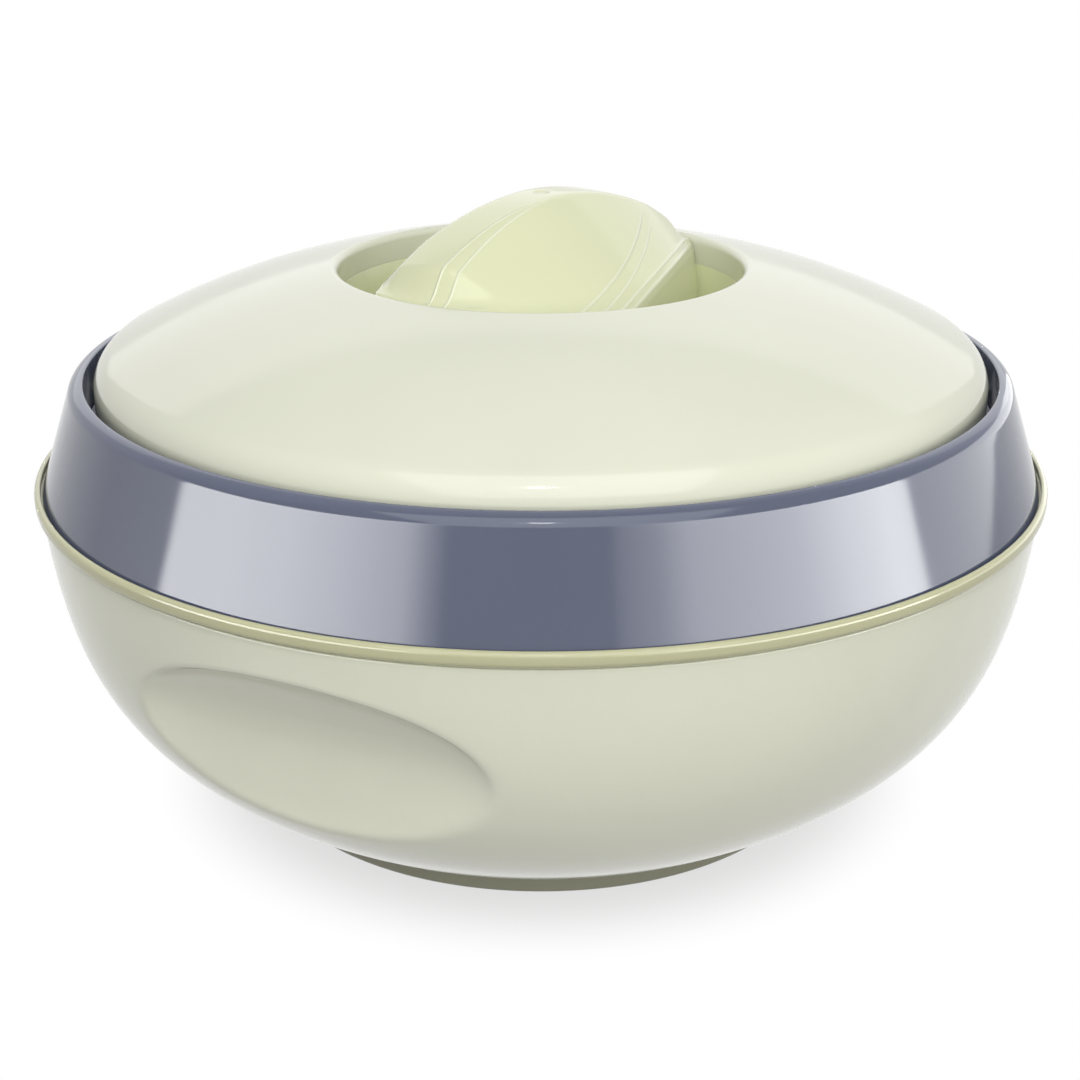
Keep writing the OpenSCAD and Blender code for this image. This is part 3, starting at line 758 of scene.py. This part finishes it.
class Bridge:
    """The twisted bridge of the grip: an arched ridge with creased flanks, the same after half a turn."""

    crease = (6.7 * MM, -0.12, 0.001 / MM)
    fold = (32.5 * MM, -0.49, -0.0059 / MM)
    fold_end, fold_fade = 36 * MM, 10 * MM
    ridge_over = 3.7 * MM
    strip_run, rib_run = 50 * MM, 20 * MM
    rim_in, rim_half, rim_fade, rim_over = 1.7 * MM, 0.8 * MM, 2 * MM, 0.1 * MM
    gate_depth, gate_edge = 0.35 * MM, 0.5 * MM
    flare = 3 * MM
    end_round, end_drop, settle = 1.2 * MM, 0.4 * MM, 8 * MM
    foot_round, foot_sink, bury = 3 * MM, 0.05 * MM, 0.8 * MM

    def __init__(self, layout):
        self.at, self.g = layout, layout.grip
        self.recess_r = layout.lid.recess_r
        self.end_r = layout.cup_r - layout.fit

    @staticmethod
    def run(line, s):
        """How far out a line is at a place along the ridge."""
        return line[0] + line[1] * s + line[2] * s * s

    def side(self, along):
        """Half the width of the bridge."""
        return self.g.half_w - self.g.side_bow * (along / self.recess_r) ** 2

    def strip(self, s):
        """Half the width of the narrow strip along a crease. It tapers out at the ridge's middle."""
        return np.clip(-s / self.strip_run, 0, 1) * self.g.strip_w / 2

    def groove(self, s):
        """How far the groove along a fold has faded in."""
        return np.clip((self.fold_end - s) / self.fold_fade, 0, 1)

    def flanks(self, across, along):
        """Place along the ridge and out from it, as each of the two flanks has it."""
        c, n = math.cos(self.g.ridge_turn), math.sin(self.g.ridge_turn)
        return [(sign * (across * c + along * n), sign * (across * n - along * c)) for sign in (1, -1)]

    def height(self, across, along):
        """Height of the top above the recess."""
        g = self.g
        flanks = self.flanks(across, along)
        rise = g.rise * (1 - (flanks[0][0] / (self.recess_r + self.ridge_over)) ** 2)
        for s, t in flanks:
            off, half = t - self.run(self.crease, s), self.strip(s)
            rise = rise - g.flank_fall * (ramp(off + half, g.softness) + ramp(off - half, g.softness)) / 2
            off = t - self.run(self.fold, s)
            rise = rise - g.fold_fall * ramp(off, g.softness)
            rise = rise - self.groove(s) * g.fold_groove / (1 + (off / (g.fold_w / 2)) ** 6)
        reach = np.hypot(across, along)
        near_end = np.clip((reach - self.end_r) / self.settle + 1, 0, 1)
        low = np.minimum(rise, -self.end_drop)
        rise = rise + (low - rise) * smooth(near_end)
        mark = np.clip((g.gate_r - reach) / self.gate_edge, 0, 1)
        return rise - self.gate_depth * smooth(mark)

    def lines(self, across, along):
        """Distance to the edge of the nearest strip, groove or side, and how far its rib has faded in."""
        near = np.abs(np.abs(across) - self.side(along) + self.rim_in) - self.rim_half
        shown = np.clip(1 - near / self.rim_fade, 0, 1)
        for s, t in self.flanks(across, along):
            for line, half, fade in ((self.crease, self.strip(s), np.clip(-s / self.rib_run, 0, 1)),
                                     (self.fold, self.g.fold_w / 2, self.groove(s))):
                edge = np.abs(t - self.run(line, s)) - half
                closer = np.abs(edge) < np.abs(near)
                near = np.where(closer, edge, near)
                shown = np.where(closer, fade, shown)
        return near, np.where(np.abs(across) < self.side(along) + self.rim_over, shown, 0)

    @staticmethod
    def edged(insets, count):
        """Places from -1 to 1. Those on the two rounded edges come with their inset."""
        inner = [(place, None) for place in np.linspace(-1, 1, count)[1:-1]]
        return [(-1, d) for d in insets] + inner + [(1, d) for d in insets[::-1]]

    def rows(self):
        """Rows of points over the bridge, each from foot to foot across it."""
        edge, at = self.g.edge_round, self.at
        bend = 1 - np.cos(np.radians(np.linspace(0, 90, 8)))
        columns = self.edged(edge * bend, 150)
        for v, end in self.edged(self.end_round * bend, 170):
            row = []
            for u, inset in columns:
                along = v * self.end_r
                for _ in range(5):
                    half = self.side(along)
                    across = u * (half - (edge if inset is None else inset))
                    reach = math.sqrt(self.end_r**2 - across**2)
                    along = v * (reach - (self.end_round if end is None else end))
                low = 0.0 if inset is None else (1 - inset / edge) ** 2
                low += 0.0 if end is None else (1 - end / self.end_round) ** 2
                round_r = edge if inset is not None else self.end_round
                drop = round_r * (1 - math.sqrt(max(1 - low, 0.0)))
                row.append((across, along, at.recess_z + float(self.height(across, along)) - drop))
            yield self.wall(row[0], -1)[::-1] + row + self.wall(row[-1], 1)

    def wall(self, top, sign):
        """Points from the edge of the top down one side to the floor of the well."""
        at, foot_round = self.at, self.foot_round
        points = []
        for share in np.linspace(0, 1, 12)[1:]:
            z = top[2] + (at.well_z + foot_round - top[2]) * share
            points.append((top[0] + sign * self.flare * share, top[1], z))
        foot = points[-1]
        for a in np.radians(np.linspace(0, 90, 7))[1:]:
            points.append((foot[0] + sign * foot_round * (1 - math.cos(a)), foot[1],
                           at.well_z + foot_round * (1 - math.sin(a)) - self.foot_sink))
        kept = []
        for across, along, z in points:
            depth = min(max((at.cup_top_z - z) / (at.cup_top_z - at.well_z), 0), 1)
            limit = at.cup_r - CUP_DRAFT * depth + self.bury
            share = min(1.0, limit / math.hypot(across, along))
            kept.append((across * share, along * share, z))
        return kept


def bridge_skin(layout):
    """Points, faces and lines of the bridge: its top, rounded edges, sides and ends."""
    bridge = Bridge(layout)
    rows = [np.array(row) for row in bridge.rows()]
    end_z = layout.cup_top_z - 5 * MM
    ends = [np.column_stack((row[:, :2], np.minimum(row[:, 2], end_z))) for row in (rows[0], rows[-1])]
    rows = [ends[0]] + rows + [ends[1]]
    count = len(rows[0])
    turn = np.array(Matrix.Rotation(layout.grip.turn, 3, "Z"))
    faces = [
        (i * count + j, i * count + j + 1, (i + 1) * count + j + 1, (i + 1) * count + j)
        for i in range(len(rows) - 1) for j in range(count - 1)
    ]
    points = np.concatenate(rows)
    return points @ turn.T, faces, bridge.lines(points[:, 0], points[:, 1])


class BOWL_OT_grip(bpy.types.Operator):
    """Build the grip: the cup with its two finger wells and the twisted bridge"""

    bl_idname = "serving_bowl.grip"
    bl_label = "Grip"

    def execute(self, context):
        look = context.scene.serving_bowl
        at = Layout(look)
        wall, fillet = 2.4 * MM, 5 * MM
        floor_r = at.cup_r - CUP_DRAFT
        flange_r = at.cup_r + wall + 11.5 * MM
        under_flange = at.cup_top_z - 2.2 * MM
        off_lines = (10 * MM, 0.0)
        bend = (floor_r - fillet, at.well_z + fillet)
        path = np.concatenate((
            [(0, at.well_z - wall)],
            arc_points(bend, fillet + wall, -math.pi / 2, 0, 12),
            [(at.cup_r + wall, under_flange), (flange_r, under_flange), (flange_r, at.cup_top_z)],
            rounded([(flange_r, at.cup_top_z), (at.cup_r, at.cup_top_z, 0.3 * MM),
                     (floor_r, at.well_z + fillet)])[1:],
            arc_points(bend, fillet, 0, -math.pi / 2, 14)[1:],
            [(0, at.well_z)],
        ))
        cup_verts, cup_faces = turned_skin(path, closed=False)
        verts, faces, lines = bridge_skin(at)
        faces = cup_faces + [[v + len(cup_verts) for v in face] for face in faces]
        piece = make_mesh("grip_shell", np.concatenate((cup_verts, verts)), faces)
        for name, values, rest in zip(LINE_NAMES, lines, off_lines):
            kept = piece.data.attributes.new(name, "FLOAT", "POINT")
            kept.data.foreach_set("value", np.concatenate((np.full(len(cup_verts), rest), values)))
        # The grip's ribs carry a painted highlight.
        seat(piece, "lid", "grip_cup",
             moulded_plastic("cream_grip", look.colours.grip, 0.09, 0.15, ribs=True))
        return {"FINISHED"}


class BOWL_OT_lid_liner(bpy.types.Operator):
    """Build the underside of the lid with its plug and soft ring"""

    bl_idname = "serving_bowl.lid_liner"
    bl_label = "Lid Liner"

    def execute(self, context):
        look = context.scene.serving_bowl
        at, lid = Layout(look), look.lid
        liner_r = at.lid_r - lid.wall - at.fit
        top = at.skirt_z + lid.wall
        inner_r = at.plug_r - lid.wall
        low = at.plug_z + 3.4 * MM
        high = low + 4.5 * MM
        slot_r = at.plug_r - 1 * MM
        dish_r, dish_z = 70 * MM, at.plug_z + 0.6 * MM
        path = rounded([
            (0, dish_z), (dish_r - 2 * MM, dish_z, 1 * MM), (dish_r, at.plug_z, 1 * MM),
            (at.plug_r, at.plug_z, 3 * MM), (at.plug_r, low, 0.1 * MM), (slot_r, low),
            (slot_r, high), (at.plug_r, high, 0.1 * MM), (at.plug_r, at.skirt_z, 1.2 * MM),
            (liner_r, at.skirt_z, 0.4 * MM), (liner_r, top), (inner_r, top),
            (inner_r, at.plug_z + lid.wall), (0, at.plug_z + lid.wall),
        ])
        liner = turned("lid_liner_shell", path, closed=False)
        seat(liner, "lid", "lid_liner",
             moulded_plastic("cream_liner", look.colours.liner, 0.2, 0.3, 0.03 * MM))
        step, tip_z = 0.1 * MM, high - 1 * MM
        root, neck = at.plug_r - 0.9 * MM, at.plug_r + 0.7 * MM
        tip = at.pan_wall_r(tip_z) - at.fit
        gasket = turned("lid_gasket_ring", rounded([
            (root, low + step), (neck, low + step, 0.3 * MM), (neck, (low + high) / 2, 0.6 * MM),
            (tip, tip_z, 0.3 * MM), (tip, high - step, 0.3 * MM), (root, high - step),
        ], closed=True))
        seat(gasket, "lid", "lid_gasket", soft_ring("lid_silicone", look.colours.gasket))
        return {"FINISHED"}


class BOWL_OT_hidden_pieces(bpy.types.Operator):
    """Give the pieces inside the shells their finishes"""

    bl_idname = "serving_bowl.hidden_pieces"
    bl_label = "Hidden Pieces"

    def execute(self, context):
        colours = context.scene.serving_bowl.colours
        foam = rigid_foam("insulating_foam", colours.foam)
        finishes = {
            "bowl_foam": foam,
            "lid_foam": foam,
            "rim_gasket": soft_ring("rim_silicone", colours.gasket),
            "filler_plug": moulded_plastic("plug_plastic", colours.base, 0.3, 0.4),
            "grip_screws": brushed_steel("screw_steel", colours.steel),
        }
        for node, finish in finishes.items():
            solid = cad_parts[node]
            solid.data.materials.clear()
            solid.data.materials.append(finish)
        return {"FINISHED"}


class StageFinish(Wiring):
    """The floor, a wall of light or the world under construction, up to its output."""

    def __init__(self, owner, output="ShaderNodeOutputMaterial"):
        super().__init__(owner)
        self.tree.nodes.clear()
        self.surface = self.node(output).inputs["Surface"]

    def camera_rays(self):
        """1 for rays that come straight from the camera."""
        return self.node("ShaderNodeLightPath").outputs["Is Camera Ray"]

    def mirrored_rays(self):
        """1 for rays that see the background off a glossy face or through a clear one."""
        path = self.node("ShaderNodeLightPath")
        return self.calc("MAXIMUM", path.outputs["Is Glossy Ray"], path.outputs["Is Transmission Ray"])

    def mix(self, factor, light, seen):
        """Gives light with one shader, and shows the other as far as the factor goes."""
        made = self.node("ShaderNodeMixShader")
        self.link(factor, made.inputs["Fac"])
        self.link(light.outputs[0], made.inputs[1])
        self.link(seen.outputs[0], made.inputs[2])
        self.link(made.outputs["Shader"], self.surface)


def floor_finish(rgb, shade):
    """White floor: even white where it is seen, with the shadow of the bowl kept near it."""
    shadow_r, clear_r, shadow_white = 0.083, 0.12, 0.7
    made = StageFinish(bpy.data.materials.new("studio_floor"))
    lit = made.node("ShaderNodeBsdfDiffuse", {"Color": (*[shade * c for c in rgb], 1)})
    glow = made.node("ShaderNodeEmission", {"Color": (*rgb, 1)})
    reach = made.reach(made.node("ShaderNodeNewGeometry").outputs["Position"])
    fade = made.span(reach, shadow_r, clear_r, shadow_white, interpolation_type="SMOOTHSTEP")
    white = made.calc("MULTIPLY", made.camera_rays(), fade)
    made.mix(made.calc("MAXIMUM", white, made.mirrored_rays()), lit, glow)
    return made.owner


def wall_finish(name):
    """Light whose strength is kept in the mesh of the wall. The white room shows through it."""
    made = StageFinish(bpy.data.materials.new(name))
    light = made.node("ShaderNodeEmission")
    made.link(made.kept("glow"), light.inputs["Strength"])
    both = made.node("ShaderNodeAddShader")
    made.link(light.outputs["Emission"], both.inputs[0])
    made.link(made.node("ShaderNodeBsdfTransparent").outputs["BSDF"], both.inputs[1])
    made.link(both.outputs["Shader"], made.surface)
    return made.owner


def room_light(world, rgb, tint, strength):
    """Even light from the room: white where it is seen, dimmer and warmer as a source of light."""
    made = StageFinish(world, "ShaderNodeOutputWorld")
    seen = made.node("ShaderNodeBackground", {"Color": (*rgb, 1)})
    light = made.node("ShaderNodeBackground", {"Color": (*tint, 1), "Strength": strength})
    made.mix(made.calc("MAXIMUM", made.camera_rays(), made.mirrored_rays()), light, seen)


def stand(thing, eye, aim):
    """Puts a lamp or the camera at one point and faces it to another."""
    thing.location = eye
    thing.rotation_euler = (aim - eye).to_track_quat("-Z", "Y").to_euler()


class BOWL_OT_stage(bpy.types.Operator):
    """Set the floor, the soft lights and the camera"""

    bl_idname = "serving_bowl.stage"
    bl_label = "Stage"

    def panel(self, name, watts, size, left, distance, rise, turn,
              tint=(1, 1, 1), diffuse=True, glossy=True):
        """A soft panel that stands left of the view by some degrees and faces the bowl."""
        data = bpy.data.lights.new(name, "AREA")
        data.energy = watts
        data.color = tint
        data.shape = "RECTANGLE"
        data.size, data.size_y = size
        lamp = new_object(name, data)
        bearing = turn - math.pi / 2 - math.radians(left)
        stand(lamp, Vector((distance * math.cos(bearing), distance * math.sin(bearing), rise)), LAMP_AIM)
        lamp.visible_camera = False
        lamp.visible_diffuse = diffuse
        lamp.visible_glossy = glossy

    def lit_by_walls(self):
        """The pieces that the walls light: the other pieces mirror the plain room alone."""
        lit = bpy.data.collections.new("lit_by_walls")
        for piece in ("collar_shell", "outer_bowl_shell"):
            lit.objects.link(bpy.data.objects[piece])
        return lit

    def wall(self, name, side, stops, strength, turn, lit):
        """A curved wall of light beside the bowl, seen in gloss only."""
        degrees, shares = zip(*stops)
        angles = np.linspace(degrees[0], degrees[-1], WALL_STEPS)
        bearings = turn - math.pi / 2 - side * np.radians(angles)
        ring = WALL_R * np.stack((np.cos(bearings), np.sin(bearings)), axis=1)
        levels = (np.full(WALL_STEPS, WALL_FOOT), np.interp(angles, *WALL_TOPS))
        verts = np.concatenate([np.column_stack((ring, level)) for level in levels])
        faces = [(j, j + 1, j + 1 + WALL_STEPS, j + WALL_STEPS) for j in range(WALL_STEPS - 1)]
        mesh = bpy.data.meshes.new(name)
        mesh.from_pydata(verts.tolist(), [], faces)
        glow = mesh.attributes.new("glow", "FLOAT", "POINT")
        shine = np.maximum(strength * np.interp(angles, degrees, shares) - ROOM_WHITE, 0)
        glow.data.foreach_set("value", np.tile(shine, 2))
        mesh.materials.append(wall_finish(name))
        piece = new_object(name, mesh)
        piece.visible_camera = piece.visible_diffuse = piece.visible_shadow = False
        piece.light_linking.receiver_collection = lit

    def floor(self, stage):
        """A wide level floor just under the foot ring."""
        half = FLOOR_HALF
        mesh = bpy.data.meshes.new("studio_floor")
        corners = [(-half, -half, 0), (half, -half, 0), (half, half, 0), (-half, half, 0)]
        mesh.from_pydata(corners, [], [(0, 1, 2, 3)])
        mesh.materials.append(floor_finish(stage.white, stage.floor_shade))
        floor = new_object("studio_floor", mesh)
        floor.location.z = -FLOOR_DROP

    def camera(self, stage):
        """The camera in front of the bowl, turned to the view."""
        data = bpy.data.cameras.new("view")
        data.sensor_width = 36
        data.lens = stage.focal
        data.clip_end = 50
        camera = new_object("view", data)
        spin = Matrix.Rotation(stage.view_turn, 4, "Z")
        stand(camera, spin @ CAMERA_AT, spin @ CAMERA_AIM)
        return camera

    def execute(self, context):
        scene = context.scene
        stage = scene.serving_bowl.stage
        turn = stage.view_turn
        self.floor(stage)
        lit = self.lit_by_walls()
        for name, side, stops in WALLS:
            self.wall(name, side, stops, stage.wall, turn, lit)
        for name, size, left, distance, rise, special in PANELS:
            self.panel(name, getattr(stage, name), size, left, distance, rise, turn, **special)
        scene.world = scene.world or bpy.data.worlds.new("studio")
        room_light(scene.world, stage.white, stage.room_tint, stage.room)
        scene.camera = self.camera(stage)
        scene.view_settings.view_transform = "Standard"
        return {"FINISHED"}


class BOWL_PT_panel(bpy.types.Panel):
    """Sizes, finishes and build steps of the serving bowl"""

    bl_idname = "BOWL_PT_panel"
    bl_label = "Serving Bowl"
    bl_space_type = "VIEW_3D"
    bl_region_type = "UI"
    bl_category = "Serving Bowl"

    def draw(self, context):
        look = context.scene.serving_bowl
        for name in ("bowl", "collar", "lid", "grip", "colours", "stage"):
            box = self.layout.box()
            box.label(text=name.title())
            group = getattr(look, name)
            for key in group.__annotations__:
                box.prop(group, key)
        for operator in OPERATORS:
            self.layout.operator(operator.bl_idname)


GROUPS = (BowlSizes, CollarSizes, LidSizes, GripSizes, FinishColours, StageSettings, ServingBowl)
OPERATORS = (
    BOWL_OT_outer_bowl, BOWL_OT_base_plate, BOWL_OT_collar, BOWL_OT_steel_bowl, BOWL_OT_lid_dome,
    BOWL_OT_grip, BOWL_OT_lid_liner, BOWL_OT_hidden_pieces, BOWL_OT_stage,
)


def register():
    for cls in GROUPS + OPERATORS + (BOWL_PT_panel,):
        bpy.utils.register_class(cls)
    bpy.types.Scene.serving_bowl = PointerProperty(type=ServingBowl)


def unregister():
    del bpy.types.Scene.serving_bowl
    for cls in reversed(GROUPS + OPERATORS + (BOWL_PT_panel,)):
        bpy.utils.unregister_class(cls)


def main():
    register()
    bpy.ops.serving_bowl.outer_bowl()
    bpy.ops.serving_bowl.base_plate()
    bpy.ops.serving_bowl.collar()
    bpy.ops.serving_bowl.steel_bowl()
    bpy.ops.serving_bowl.lid_dome()
    bpy.ops.serving_bowl.grip()
    bpy.ops.serving_bowl.lid_liner()
    bpy.ops.serving_bowl.hidden_pieces()
    bpy.ops.serving_bowl.stage()


if __name__ == "__main__":
    main()
